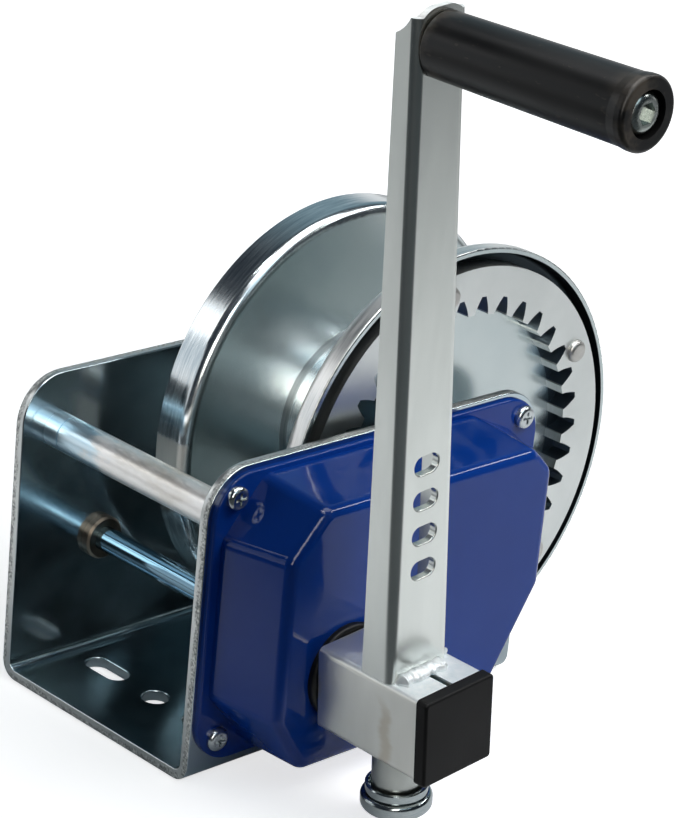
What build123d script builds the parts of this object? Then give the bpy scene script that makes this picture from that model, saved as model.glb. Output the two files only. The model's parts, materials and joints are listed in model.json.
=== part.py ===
from build123d import *
import math
import os

# Hand winch: a bent U frame carries a rope drum with an internal ring gear. A crank turns a pinion under the
# side cover, which drives the drum through an intermediate gear and pinion.
# Millimetres. X runs along the drum towards the crank, Y to the rear, Z up. The origin is the middle of the
# base's underside.

# Frame: one bent sheet
SHEET = 5.0
INNER_WIDTH = 122.0
FRAME_LENGTH = 208.0
FRAME_HEIGHT = 150.0
BEND_INNER_RADIUS = 4.0
TOP_CORNER_RADIUS = 23.0
SHEET_EDGE_ROUND = 0.6
INNER_X = INNER_WIDTH / 2
OUTER_X = INNER_X + SHEET
FRONT_Y = -FRAME_LENGTH / 2

# Base holes: a front row of slot, hole and slot, and one hole at the rear
SLOT_LENGTH = 26.0
SLOT_WIDTH = 12.0
SLOT_SPACING = 70.0
BASE_HOLE_RADIUS = 6.5
FRONT_ROW_Y = -65.5
REAR_HOLE_Y = 74.5

# Spacer tube and its tie rod between the plates, at the upper front
SPACER_Y = -83.0
SPACER_Z = 122.0
SPACER_RADIUS = 8.6
SPACER_GROOVE_X = -52.0
SPACER_GROOVE = 0.6
TIE_RADIUS = 5.0
TIE_HEAD_RADIUS = 8.0
TIE_END_RADIUS = 5.6

# Axes of the three turning shafts, as (Y, Z)
DRUM_Y = 64.3
DRUM_Z = 113.4
CRANK_Y = -53.5
CRANK_Z = 61.5

# Drum
FLANGE_RADIUS = 105.5
FLANGE_SHEET = 2.5
BARREL_RADIUS = 42.5
BARREL_WALL = 4.0
LEFT_FACE_X = -20.0
LEFT_RIM_X = -39.7
RIGHT_FACE_X = 40.5
RIGHT_RIM_X = 51.7
RIM_BEND = 5.0
DRUM_TUBE_RADIUS = 14.0
DRUM_TUBE_BORE = 10.5
DRUM_TUBE_LEFT = -38.5
DRUM_TUBE_RIGHT = 53.0
DRUM_BUSH_LENGTH = 18.0
AXLE_RADIUS = 8.0
AXLE_HEAD_RADIUS = 13.0
AXLE_HEAD = 2.6
NUT_16_FLATS = 24.0
NUT_16_HEIGHT = 13.0
WASHER_THICKNESS = 2.5
END_GAP = 0.4

# Gear train: ring gear and pinion, then gear and pinion under the cover
RING_TEETH = 35
INNER_PINION_TEETH = 10
RING_MODULE = 4.4
RING_ROOT = 82.6
RING_CREST = 74.0
RING_SPACE = 7.6
INNER_PINION_TOOTH = 6.7
RING_OUTER_RADIUS = 97.2
RING_FACE_X = 53.4
RING_PHASE = 95.5
RIVETS = 5
RIVET_CIRCLE = 87.4
RIVET_PHASE = 29.0
RIVET_RADIUS = 3.0
RIVET_HEAD_RADIUS = 5.6
RIVET_HEAD_HEIGHT = 2.8
CRANK_PINION_TEETH = 14
SIDE_GEAR_TEETH = 32
SIDE_MODULE = 3.25
SIDE_TOOTH = 4.7
DEDENDUM = 1.25
PRESSURE_ANGLE = 20.0

# Running fits, radial
RUNNING_FIT = 0.05

# Stations along X under the cover, counted outwards from the right plate
GEAR_X = (70.5, 79.5)
CRANK_PINION_X = (70.0, 80.5)
BRAKE_FLANGE_X = (80.5, 85.0)
INNER_DISC_X = (85.0, 87.5)
RATCHET_X = (87.9, 93.7)
OUTER_DISC_X = (94.1, 96.6)
PRESSURE_X = (96.6, 101.0)
HUB_X = (112.0, 172.0)

# Intermediate shaft
SIDE_SHAFT_RADIUS = 7.0
SIDE_BUSH_RADIUS = 11.0
SIDE_BUSH_FLANGE = 14.0
SIDE_SHAFT_END = 82.6
CLIP_THICKNESS = 1.5

# Drive shaft, its bushes and the brake on it
DRIVE_THIN_RADIUS = 6.0
DRIVE_THICK_RADIUS = 8.0
DRIVE_STEP_X = 56.0
DRIVE_LEFT_X = -72.0
DRIVE_RIGHT_X = 164.0
LEFT_BUSH_RADIUS = 9.0
LEFT_BUSH_FLANGE = 10.6
LEFT_BUSH_DEPTH = 4.5
RIGHT_BUSH_RADIUS = 11.0
RIGHT_BUSH_FLANGE = 14.0
BRAKE_RADIUS = 27.0
DISC_RADIUS = 26.0
RATCHET_SEAT_RADIUS = 12.0
PRESSURE_SLEEVE_RADIUS = 14.0

# Ratchet wheel and pawl
RATCHET_TEETH = 12
RATCHET_TIP = 31.0
RATCHET_ROOT = 24.5
RATCHET_FACE_ANGLE = 140.0
PAWL_PIVOT_ANGLE = 100.0
PAWL_PIVOT_REACH = 46.0
PAWL_STUD_RADIUS = 4.0
PAWL_BOSS_RADIUS = 8.0
PAWL_TIP_REACH = 29.2
PAWL_TIP_ANGLE = 7.5
PAWL_FACE_GAP = 0.8
PAWL_HEEL_REACH = 38.0
PAWL_X = (88.3, 93.3)
PAWL_SPRING_X = (93.8, 97.4)
STUD_HEAD_X = (97.6, 99.6)

# Cover: a thin flange on the plate and a raised hollow body
COVER_FLANGE = 2.5
COVER_WALL = 2.2
COVER_FACE_X = 108.0
COVER_EDGE_INSET = 2.5
COVER_BOTTOM_Z = 9.0
COVER_FLANGE_CORNER = 20.5
COVER_CORNER = 8.0
COVER_EDGE_ROUND = 5.0
COVER_FLANGE_ROUND = 1.0
SCREW_INSET_Y = 13.5
SCREW_TOP_Z = 137.5
SCREW_BOTTOM_Z = 21.0
SCREW_RADIUS = 2.9
SCREW_HEAD_RADIUS = 5.6
SCREW_HEAD_HEIGHT = 3.4
SEAL_RADIUS = 22.5
SEAL_BORE = 17.0
SEAL_X = (103.5, 111.4)

# Crank, described upright and then leaned by its resting angle
CRANK_LEAN = 5.5
HUB_WIDTH = 40.0
HUB_WALL = 3.0
HUB_CORNER = 3.0
HUB_SLOT_WIDTH = 3.2
HUB_SLOT_LENGTH = 14.5
CAP_WIDTH = 41.0
CAP_LIP = 6.0
CAP_PLUG = 5.0
CAP_ROUND = 1.3
ARM_LENGTH = 300.0
ARM_OFFSET = -2.5
ARM_FOOT_WIDTH = 35.0
ARM_HEAD_WIDTH = 28.0
ARM_TOP = 315.5
ARM_TOP_CORNER = 11.0
ARM_SHOULDER_TOP = 312.3
ARM_WALL_TOP = 304.6
ARM_SHEET = 3.5
ARM_BEND = 4.0
ARM_FACE_X = 155.5
ARM_FOOT_DEPTH = 17.0
ARM_HEAD_DEPTH = 12.0
ARM_HOLES = 4
ARM_HOLE_FIRST = 70.0
ARM_HOLE_PITCH = 16.2
ARM_HOLE_LENGTH = 14.0
ARM_HOLE_HEIGHT = 8.4
ARM_EDGE_ROUND = 0.6
WELD_LEG = 4.5

# Grip and its bolt
GRIP_RADIUS = 14.6
GRIP_ROOT_RADIUS = 13.8
GRIP_LIP_RADIUS = 15.1
GRIP_LIP = 4.0
GRIP_FLARE = 4.0
GRIP_X = (156.0, 261.0)
GRIP_BORE = 6.0
GRIP_RECESS_RADIUS = 9.5
GRIP_RECESS = 6.0
BOLT_HEAD_RADIUS = 8.4
BOLT_HEAD_DOME = 3.2
BOLT_HEAD = 5.0
BOLT_SOCKET_FLATS = 8.0
BOLT_SOCKET_DEPTH = 3.0
GRIP_NUT_RADIUS = 9.0
GRIP_NUT = 6.0

# Pull pin under the hub
PIN_X = 142.0
NECK_RADIUS = 11.2
NECK_BORE = 6.8
NECK_END = -44.0
NECK_LIP = 2.0
PIN_RADIUS = 4.0
PIN_FIT = 0.08
PIN_TIP = -5.6
PIN_NOTCH_RADIUS = 4.6
PIN_END_GAP = 0.4
KNOB_TOP = -41.0
KNOB_BOTTOM = -53.0
KNOB_RADIUS = 16.0
KNOB_BEAD = 7.6
KNOB_EDGE = 2.4
KNOB_COLLAR_RADIUS = 14.0
KNOB_COLLAR_EDGE = 0.5
KNOB_WAIST_RADIUS = 13.1
KNOB_WAIST = 0.8
KNOB_CUP_RADIUS = 12.6
KNOB_CUP_DEPTH = 3.7
SPRING_RADIUS = 5.6
SPRING_WIRE = 0.6
SPRING_TURNS = 5

# Plane whose own x and y are the object's Y and Z, facing along +X
SIDE_PLANE = Plane(origin=(0, 0, 0), x_dir=(0, 1, 0), z_dir=(1, 0, 0))
CRANK_PLACE = Pos(0, CRANK_Y, CRANK_Z) * Rot(CRANK_LEAN, 0, 0)


def at(angle, reach, centre=(0.0, 0.0)):
    """The (Y, Z) point at an angle and distance from a centre."""
    turn = math.radians(angle)
    return centre[0] + reach * math.cos(turn), centre[1] + reach * math.sin(turn)


def rod(x0, x1, radius, y=0.0, z=0.0):
    """A round bar along X."""
    return Pos((x0 + x1) / 2, y, z) * Rot(0, 90, 0) * Cylinder(radius, x1 - x0)


def ring(x0, x1, radius, bore, y=0.0, z=0.0):
    """A round tube along X."""
    return rod(x0, x1, radius, y, z) - rod(x0 - 1, x1 + 1, bore, y, z)


def side_prism(outline, x0, x1):
    """A closed outline of (Y, Z) points, carried along X."""
    face = make_face(Polyline(*outline, close=True))
    return Pos(x0, 0, 0) * extrude(SIDE_PLANE * face, x1 - x0)


def side_box(x0, x1, y0, y1, z0, z1):
    """A box by its limits."""
    return Pos((x0 + x1) / 2, (y0 + y1) / 2, (z0 + z1) / 2) * Box(x1 - x0, y1 - y0, z1 - z0)


def hexagon(x0, x1, flats, y=0.0, z=0.0):
    """A hexagonal bar along X, by its width across flats."""
    reach = flats / math.sqrt(3)
    return side_prism([at(60 * k, reach, (y, z)) for k in range(6)], x0, x1)


def turned(profile):
    """A closed profile of (X, radius) points, turned about X."""
    return revolve(make_face(Polyline(*profile, close=True)), Axis.X)


def round_edges(solid, x, radius):
    """The circular edges of a turned solid at one station and radius."""
    def wanted(edge):
        return abs(edge.radius - radius) < 0.01 and abs(edge.arc_center.X - x) < 0.01
    return [edge for edge in solid.edges().filter_by(GeomType.CIRCLE) if wanted(edge)]


def involute(radius, base):
    """The polar angle that an involute sweeps from its base circle out to a radius."""
    if radius <= base:
        return 0.0
    roll = math.acos(base / radius)
    return math.tan(roll) - roll


def gear_outline(teeth, module, tip, root, tooth, phase, centre):
    """A gear's outline; tooth is the width of one tooth along the pitch circle."""
    flank_steps = 5
    pitch = module * teeth / 2
    base = pitch * math.cos(math.radians(PRESSURE_ANGLE))
    half = tooth / (2 * pitch) + involute(pitch, base)
    start = max(base, root)
    radii = [start + (tip - start) * k / flank_steps for k in range(flank_steps + 1)]
    flank = [(radius, half - involute(radius, base)) for radius in radii]
    if root < start:
        flank = [(root, half)] + flank
    points = []
    for k in range(teeth):
        middle = phase + 360.0 * k / teeth
        points += [at(middle - math.degrees(a), radius, centre) for radius, a in flank]
        points += [at(middle + math.degrees(a), radius, centre) for radius, a in reversed(flank)]
    return points


# Places that follow from the driving dimensions

RING_PITCH = RING_MODULE * RING_TEETH / 2
INNER_PITCH = RING_MODULE * INNER_PINION_TEETH / 2
SIDE_PITCH = SIDE_MODULE * SIDE_GEAR_TEETH / 2
CRANK_PITCH = SIDE_MODULE * CRANK_PINION_TEETH / 2
DRUM = (DRUM_Y, DRUM_Z)
CRANK = (CRANK_Y, CRANK_Z)


def intermediate_axis():
    """The lower point at both meshing distances from the drum's and the crank's axes."""
    near = RING_PITCH - INNER_PITCH
    far = SIDE_PITCH + CRANK_PITCH
    dy, dz = CRANK_Y - DRUM_Y, CRANK_Z - DRUM_Z
    span = math.hypot(dy, dz)
    along = (near ** 2 - far ** 2 + span ** 2) / (2 * span)
    aside = math.sqrt(near ** 2 - along ** 2)
    y = DRUM_Y + (along * dy - aside * dz) / span
    z = DRUM_Z + (along * dz + aside * dy) / span
    return y, z


SIDE = intermediate_axis()
PAWL_PIVOT = at(PAWL_PIVOT_ANGLE, PAWL_PIVOT_REACH, CRANK)
SCREW_PLACES = [
    (side * (FRAME_LENGTH / 2 - SCREW_INSET_Y), z)
    for side in (-1, 1)
    for z in (SCREW_BOTTOM_Z, SCREW_TOP_Z)
]
RIVET_PLACES = [at(RIVET_PHASE + 360 * k / RIVETS, RIVET_CIRCLE, DRUM) for k in range(RIVETS)]


def sheet_edges(block):
    """The edges where the bent sheet's two sides meet its cut edges."""
    chosen = []
    for edge in block.edges():
        middle = edge.bounding_box().center()
        on_plate = min(abs(abs(middle.X) - INNER_X), abs(abs(middle.X) - OUTER_X)) < 0.01
        on_base = abs(abs(middle.Y) - FRAME_LENGTH / 2) < 0.01 and middle.Z < BEND_INNER_RADIUS + SHEET
        along_bend = edge.bounding_box().size.Y > FRAME_LENGTH / 2 and middle.Z < FRAME_HEIGHT / 2
        if (on_plate and not along_bend) or on_base:
            chosen.append(edge)
    return chosen


def is_rim(edge):
    """Whether a flat edge of the base belongs to one of its slots or holes."""
    size = edge.bounding_box().size
    return size.Z < 0.01 and max(size.X, size.Y) < SLOT_LENGTH


def frame():
    """One sheet bent into a U, with rounded upper corners and every hole in it."""
    outer_bend = BEND_INNER_RADIUS + SHEET
    block = Pos(0, 0, FRAME_HEIGHT / 2) * Box(2 * OUTER_X, FRAME_LENGTH, FRAME_HEIGHT)
    low = block.edges().filter_by(Axis.Y).group_by(Axis.Z)[0]
    block = fillet(low, outer_bend)
    hollow_height = FRAME_HEIGHT + 1
    hollow = Pos(0, 0, SHEET + hollow_height / 2) * Box(INNER_WIDTH, FRAME_LENGTH + 2, hollow_height)
    low = hollow.edges().filter_by(Axis.Y).group_by(Axis.Z)[0]
    block = block - fillet(low, BEND_INNER_RADIUS)
    upper = block.edges().filter_by(Axis.X).group_by(Axis.Z)[-1]
    block = fillet(upper, TOP_CORNER_RADIUS)
    block = fillet(sheet_edges(block), SHEET_EDGE_ROUND)
    slot = extrude(SlotOverall(SLOT_LENGTH, SLOT_WIDTH), 3 * SHEET, both=True)
    hole = Cylinder(BASE_HOLE_RADIUS, 6 * SHEET)
    for side in (-1, 1):
        block -= Pos(side * SLOT_SPACING / 2, FRONT_ROW_Y, 0) * slot
    for y in (FRONT_ROW_Y, REAR_HOLE_Y):
        block -= Pos(0, y, 0) * hole
    rims = [edge for edge in block.edges() if abs(edge.bounding_box().min.Z - SHEET) < 0.01 and is_rim(edge)]
    block = fillet(rims, SHEET_EDGE_ROUND)
    left = (-OUTER_X - 1, -INNER_X + 1)
    right = (INNER_X - 1, OUTER_X + 1)
    for x0, x1 in (left, right):
        block -= rod(x0, x1, TIE_RADIUS, SPACER_Y, SPACER_Z)
        block -= rod(x0, x1, AXLE_RADIUS, *DRUM)
    block -= rod(*left, LEFT_BUSH_RADIUS, *CRANK)
    block -= rod(*right, RIGHT_BUSH_RADIUS, *CRANK)
    block -= rod(*right, SIDE_BUSH_RADIUS, *SIDE)
    block -= rod(*right, PAWL_STUD_RADIUS, *PAWL_PIVOT)
    for y, z in SCREW_PLACES:
        block -= rod(*right, SCREW_RADIUS, y, z)
    return block


def spacer_tube():
    """The tube between the plates, with a fine joint line near its left end."""
    tube = ring(-INNER_X, INNER_X, SPACER_RADIUS, TIE_RADIUS, SPACER_Y, SPACER_Z)
    end = SPACER_GROOVE_X + SPACER_GROOVE
    return tube - ring(SPACER_GROOVE_X, end, SPACER_RADIUS + 1, SPACER_RADIUS - SPACER_GROOVE, SPACER_Y, SPACER_Z)


def tie_rod():
    """A rod through the spacer tube, with a button head on the left and a small peened end on the right."""
    rod_body = rod(-OUTER_X, OUTER_X, TIE_RADIUS, SPACER_Y, SPACER_Z)
    head = rod(-OUTER_X - 4, -OUTER_X, TIE_HEAD_RADIUS, SPACER_Y, SPACER_Z)
    head = fillet(head.edges().group_by(Axis.X)[0], 2.5)
    end = rod(OUTER_X, OUTER_X + 1.8, TIE_END_RADIUS, SPACER_Y, SPACER_Z)
    end = fillet(end.edges().group_by(Axis.X)[-1], 1.2)
    return rod_body + head + end


def drum_flange(face_x, rim_x):
    """A pressed disc whose rim turns away from the rope, and the seat for the tube through it."""
    out = 1 if rim_x > face_x else -1
    back_x = face_x + out * FLANGE_SHEET
    inside = FLANGE_RADIUS - FLANGE_SHEET
    pan = turned([
        (face_x, DRUM_TUBE_RADIUS),
        (face_x, FLANGE_RADIUS),
        (rim_x, FLANGE_RADIUS),
        (rim_x, inside),
        (back_x, inside),
        (back_x, DRUM_TUBE_RADIUS),
    ])
    pan = fillet(round_edges(pan, face_x, FLANGE_RADIUS), RIM_BEND)
    pan = fillet(round_edges(pan, back_x, inside), RIM_BEND - FLANGE_SHEET)
    pan = fillet(round_edges(pan, rim_x, FLANGE_RADIUS), 0.8)
    return Pos(0, *DRUM) * pan


def right_flange():
    """The geared flange, with the rivet holes."""
    pan = drum_flange(RIGHT_FACE_X, RIGHT_RIM_X)
    for y, z in RIVET_PLACES:
        pan -= rod(RIGHT_FACE_X - 1, RIGHT_RIM_X + 1, RIVET_RADIUS, y, z)
    return pan


def ring_gear():
    """A thick plate with internal teeth, riveted to the right flange."""
    back_x = RIGHT_FACE_X + FLANGE_SHEET
    plate = rod(back_x, RING_FACE_X, RING_OUTER_RADIUS, *DRUM)
    spaces = gear_outline(RING_TEETH, RING_MODULE, RING_ROOT, RING_CREST, RING_SPACE, RING_PHASE, DRUM)
    plate -= side_prism(spaces, back_x - 1, RING_FACE_X + 1)
    for y, z in RIVET_PLACES:
        plate -= rod(back_x - 1, RING_FACE_X + 1, RIVET_RADIUS, y, z)
    return plate


def gear_rivets():
    """Round-head rivets through the ring gear and the flange."""
    rivets = []
    for y, z in RIVET_PLACES:
        head = rod(RING_FACE_X, RING_FACE_X + RIVET_HEAD_HEIGHT, RIVET_HEAD_RADIUS, y, z)
        head = fillet(head.edges().group_by(Axis.X)[-1], RIVET_HEAD_HEIGHT - 0.4)
        rivets.append(head + rod(RIGHT_FACE_X, RING_FACE_X, RIVET_RADIUS, y, z))
    return rivets


def drum_bushes():
    """Two plain bushes in the ends of the drum's tube."""
    spans = (
        (DRUM_TUBE_LEFT, DRUM_TUBE_LEFT + DRUM_BUSH_LENGTH),
        (DRUM_TUBE_RIGHT - DRUM_BUSH_LENGTH, DRUM_TUBE_RIGHT),
    )
    return [ring(x0, x1, DRUM_TUBE_BORE, AXLE_RADIUS + RUNNING_FIT, *DRUM) for x0, x1 in spans]


def drum_axle():
    """The fixed axle, with a low flat head under the cover."""
    end_x = -OUTER_X - WASHER_THICKNESS - NUT_16_HEIGHT - 4
    bar = rod(end_x, OUTER_X, AXLE_RADIUS, *DRUM)
    bar = chamfer(bar.edges().group_by(Axis.X)[0], 1.5)
    return bar + rod(OUTER_X, OUTER_X + AXLE_HEAD, AXLE_HEAD_RADIUS, *DRUM)


def axle_nut():
    """A hexagon nut on the axle's left end."""
    x1 = -OUTER_X - WASHER_THICKNESS
    nut = hexagon(x1 - NUT_16_HEIGHT, x1, NUT_16_FLATS, *DRUM)
    cone_radius = NUT_16_FLATS / math.sqrt(3)
    trim = rod(x1 - NUT_16_HEIGHT, x1, cone_radius, *DRUM)
    trim = chamfer(trim.edges().group_by(Axis.X)[0], 2.0)
    return (nut & trim) - rod(x1 - NUT_16_HEIGHT - 1, x1 + 1, AXLE_RADIUS, *DRUM)


def axle_spacers():
    """Tubes on the axle that keep the drum in place between the plates."""
    bore = AXLE_RADIUS
    left = ring(-INNER_X, DRUM_TUBE_LEFT - END_GAP, 12.0, bore, *DRUM)
    right = ring(DRUM_TUBE_RIGHT + END_GAP, INNER_X, 12.0, bore, *DRUM)
    return [left, right]


def intermediate_pinion():
    """The small pinion inside the ring gear."""
    start = RIGHT_FACE_X + FLANGE_SHEET + 1.0
    towards = math.degrees(math.atan2(SIDE[1] - DRUM_Z, SIDE[0] - DRUM_Y))
    phase = towards + (RING_PHASE - towards) * RING_TEETH / INNER_PINION_TEETH
    tip = INNER_PITCH + RING_MODULE
    root = INNER_PITCH - DEDENDUM * RING_MODULE
    teeth = gear_outline(INNER_PINION_TEETH, RING_MODULE, tip, root, INNER_PINION_TOOTH, phase, SIDE)
    return side_prism(teeth, start, RING_FACE_X) - rod(start - 1, RING_FACE_X + 1, SIDE_SHAFT_RADIUS, *SIDE)


def intermediate_gear():
    """The large gear under the cover, with a thinned web and four light holes."""
    towards = math.degrees(math.atan2(CRANK_Z - SIDE[1], CRANK_Y - SIDE[0]))
    tip = SIDE_PITCH + SIDE_MODULE
    root = SIDE_PITCH - DEDENDUM * SIDE_MODULE
    teeth = gear_outline(SIDE_GEAR_TEETH, SIDE_MODULE, tip, root, SIDE_TOOTH, towards, SIDE)
    gear = side_prism(teeth, *GEAR_X) - rod(GEAR_X[0] - 1, GEAR_X[1] + 1, SIDE_SHAFT_RADIUS, *SIDE)
    gear -= ring(GEAR_X[1] - 2.5, GEAR_X[1] + 1, root - 6, 13.0, *SIDE)
    for k in range(4):
        gear -= rod(GEAR_X[0] - 1, GEAR_X[1] + 1, 8.0, *at(45 + 90 * k, 28.0, SIDE))
    return gear


def intermediate_shaft():
    """A short shaft that carries the intermediate gear and pinion."""
    return rod(RIGHT_FACE_X + FLANGE_SHEET + 1.0, SIDE_SHAFT_END, SIDE_SHAFT_RADIUS, *SIDE)


def intermediate_bush():
    """The bush in the right plate, with its flange under the cover."""
    bore = SIDE_SHAFT_RADIUS + RUNNING_FIT
    body = ring(RING_FACE_X + 1.6, OUTER_X, SIDE_BUSH_RADIUS, bore, *SIDE)
    return body + ring(OUTER_X, OUTER_X + 3.5, SIDE_BUSH_FLANGE, bore, *SIDE)


def crank_pinion():
    """The pinion on the drive shaft."""
    towards = math.degrees(math.atan2(SIDE[1] - CRANK_Z, SIDE[0] - CRANK_Y))
    tip = CRANK_PITCH + SIDE_MODULE
    root = CRANK_PITCH - DEDENDUM * SIDE_MODULE
    phase = towards + 180.0 / CRANK_PINION_TEETH
    teeth = gear_outline(CRANK_PINION_TEETH, SIDE_MODULE, tip, root, SIDE_TOOTH, phase, CRANK)
    x0, x1 = CRANK_PINION_X
    return side_prism(teeth, x0, x1) - rod(x0 - 1, x1 + 1, DRIVE_THICK_RADIUS, *CRANK)


def drive_shaft():
    """The stepped shaft from the left plate to the crank, with a notch for the pull pin."""
    thin = rod(DRIVE_LEFT_X, DRIVE_STEP_X, DRIVE_THIN_RADIUS)
    thin = chamfer(thin.edges().group_by(Axis.X)[0], 1.0)
    thick = rod(DRIVE_STEP_X, DRIVE_RIGHT_X, DRIVE_THICK_RADIUS)
    depth = 2 * DRIVE_THICK_RADIUS
    notch = Pos(PIN_X, 0, PIN_TIP - depth / 2 + PIN_END_GAP) * Cylinder(PIN_NOTCH_RADIUS, depth)
    return CRANK_PLACE * (thin + thick - notch)


def left_shaft_bush():
    """The bronze bush in the left plate, with a collar on the inside."""
    bore = DRIVE_THIN_RADIUS + RUNNING_FIT
    body = ring(-OUTER_X, -INNER_X, LEFT_BUSH_RADIUS, bore)
    collar = rod(-INNER_X, -INNER_X + LEFT_BUSH_DEPTH, LEFT_BUSH_FLANGE)
    collar = chamfer(collar.edges().group_by(Axis.X)[-1], 1.0)
    collar -= rod(-INNER_X - 1, -INNER_X + LEFT_BUSH_DEPTH + 1, bore)
    return Pos(0, *CRANK) * (body + collar)


def right_shaft_bush():
    """The bush in the right plate."""
    bore = DRIVE_THICK_RADIUS + RUNNING_FIT
    body = ring(INNER_X, OUTER_X + 3.5, RIGHT_BUSH_RADIUS, bore, *CRANK)
    return body + ring(INNER_X - 3.0, INNER_X, RIGHT_BUSH_FLANGE, bore, *CRANK)


def shaft_clip():
    """A retaining ring outside the left plate."""
    x1 = -OUTER_X - END_GAP
    return ring(x1 - CLIP_THICKNESS, x1, DRIVE_THIN_RADIUS + 3, DRIVE_THIN_RADIUS, *CRANK)


def intermediate_clip():
    """A retaining ring outside the intermediate gear."""
    return ring(GEAR_X[1], GEAR_X[1] + CLIP_THICKNESS, SIDE_SHAFT_RADIUS + 3, SIDE_SHAFT_RADIUS, *SIDE)


def brake_flange():
    """The disc fixed to the shaft, with the seat on which the ratchet wheel turns."""
    bore = DRIVE_THICK_RADIUS
    disc = ring(*BRAKE_FLANGE_X, BRAKE_RADIUS, bore, *CRANK)
    return disc + ring(BRAKE_FLANGE_X[1], OUTER_DISC_X[1], RATCHET_SEAT_RADIUS, bore, *CRANK)


def pressure_hub():
    """The threaded disc that clamps the brake, with a sleeve out to the crank."""
    disc = ring(*PRESSURE_X, BRAKE_RADIUS, DRIVE_THICK_RADIUS, *CRANK)
    return disc + ring(PRESSURE_X[1], HUB_X[0], PRESSURE_SLEEVE_RADIUS, DRIVE_THICK_RADIUS, *CRANK)


def ratchet_wheel():
    """A saw-toothed wheel, free between the two friction discs."""
    step = 360.0 / RATCHET_TEETH
    outline = []
    for k in range(RATCHET_TEETH):
        face = RATCHET_FACE_ANGLE + step * k
        middle = (RATCHET_TIP + RATCHET_ROOT) / 2
        outline.append(at(face - step, RATCHET_TIP, CRANK))
        outline.append(at(face - step / 2, middle, CRANK))
        outline.append(at(face, RATCHET_ROOT, CRANK))
    bore = RATCHET_SEAT_RADIUS + RUNNING_FIT
    return side_prism(outline, *RATCHET_X) - rod(RATCHET_X[0] - 1, RATCHET_X[1] + 1, bore, *CRANK)


def pawl():
    """The lever that drops behind a ratchet tooth."""
    face = RATCHET_FACE_ANGLE - PAWL_FACE_GAP
    heel = face - PAWL_TIP_ANGLE
    reach = math.degrees(math.atan2(PAWL_PIVOT[1] - CRANK_Z, PAWL_PIVOT[0] - CRANK_Y))
    outline = [
        at(heel, PAWL_TIP_REACH, CRANK),
        at(face, PAWL_TIP_REACH, CRANK),
        at(face, PAWL_HEEL_REACH, CRANK),
        at(reach + 90, PAWL_BOSS_RADIUS, PAWL_PIVOT),
        at(reach - 140, PAWL_BOSS_RADIUS, PAWL_PIVOT),
    ]
    lever = side_prism(outline, *PAWL_X) + rod(*PAWL_X, PAWL_BOSS_RADIUS, *PAWL_PIVOT)
    return lever - rod(PAWL_X[0] - 1, PAWL_X[1] + 1, PAWL_STUD_RADIUS + RUNNING_FIT, *PAWL_PIVOT)


def pawl_stud():
    """The stud in the right plate that the pawl swings on."""
    stem = rod(INNER_X, STUD_HEAD_X[0], PAWL_STUD_RADIUS, *PAWL_PIVOT)
    shoulder = ring(OUTER_X, PAWL_X[0] - 0.3, PAWL_STUD_RADIUS + 2, PAWL_STUD_RADIUS, *PAWL_PIVOT)
    return stem + shoulder + rod(*STUD_HEAD_X, PAWL_STUD_RADIUS + 2, *PAWL_PIVOT)


def coil(radius, wire, height, turns):
    """A spring of round wire along Z, standing on its lower end."""
    path = Helix(height / turns, height, radius)
    start = Plane(origin=path @ 0, z_dir=path % 0)
    return sweep(start * Circle(wire), path)


def pawl_spring():
    """The coil round the pawl's stud."""
    length = PAWL_SPRING_X[1] - PAWL_SPRING_X[0]
    wire = 0.5
    spring = coil(PAWL_STUD_RADIUS + 1.2, wire, length - 2 * wire, 2)
    return Pos(PAWL_SPRING_X[0] + wire, *PAWL_PIVOT) * Rot(0, 90, 0) * spring


# Cover outlines, as (distance from the plate's front edge, height): the foot on the flange and the outer face
COVER_FOOT = [(7, 43), (7, 118), (30, 145), (160, 145), (190, 131), (190, 62), (166, 13), (33, 13)]
COVER_FACE = [(12, 44), (12, 121), (31, 141.5), (163, 141), (173.5, 129), (173.5, 73), (140, 17), (28.5, 17)]


def cover_section(outline, x, inset):
    """One outline of the cover's body, at a station along X."""
    face = make_face(Polyline(*[(y + FRONT_Y, z) for y, z in outline], close=True))
    if inset:
        face = offset(face, -inset)
    return Pos(x, 0, 0) * (SIDE_PLANE * face)


def cover_body(inset):
    """The raised body with rounded corners and edges, or its hollow when inset."""
    foot = cover_section(COVER_FOOT, OUTER_X + COVER_FLANGE, inset)
    face = cover_section(COVER_FACE, COVER_FACE_X - inset, inset)
    body = loft([foot, face], ruled=True)
    corners = [edge for edge in body.edges() if edge.bounding_box().size.X > 1]
    body = fillet(corners, COVER_CORNER - inset)
    rim = body.faces().sort_by(Axis.X)[-1].edges()
    return fillet(rim, COVER_EDGE_ROUND - inset)


def gear_cover():
    """The pressed side cover: screw flange, raised body and the opening for the crank."""
    width = FRAME_LENGTH - 2 * COVER_EDGE_INSET
    height = FRAME_HEIGHT - COVER_EDGE_INSET - COVER_BOTTOM_Z
    outline = RectangleRounded(width, height, COVER_FLANGE_CORNER)
    flange = extrude(SIDE_PLANE * Pos(0, COVER_BOTTOM_Z + height / 2) * outline, COVER_FLANGE)
    flange = fillet(flange.edges().group_by(Axis.X)[-1], COVER_FLANGE_ROUND)
    hollow = cover_body(COVER_WALL)
    mouth = extrude(hollow.faces().sort_by(Axis.X)[0], COVER_FLANGE + 1, dir=(-1, 0, 0))
    shell = Pos(OUTER_X, 0, 0) * flange + cover_body(0) - hollow - mouth
    shell -= rod(COVER_FACE_X - 8, COVER_FACE_X + 1, SEAL_RADIUS, *CRANK)
    for y, z in SCREW_PLACES:
        shell -= rod(OUTER_X - 1, OUTER_X + COVER_FLANGE + 1, SCREW_RADIUS, y, z)
    return shell


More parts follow.
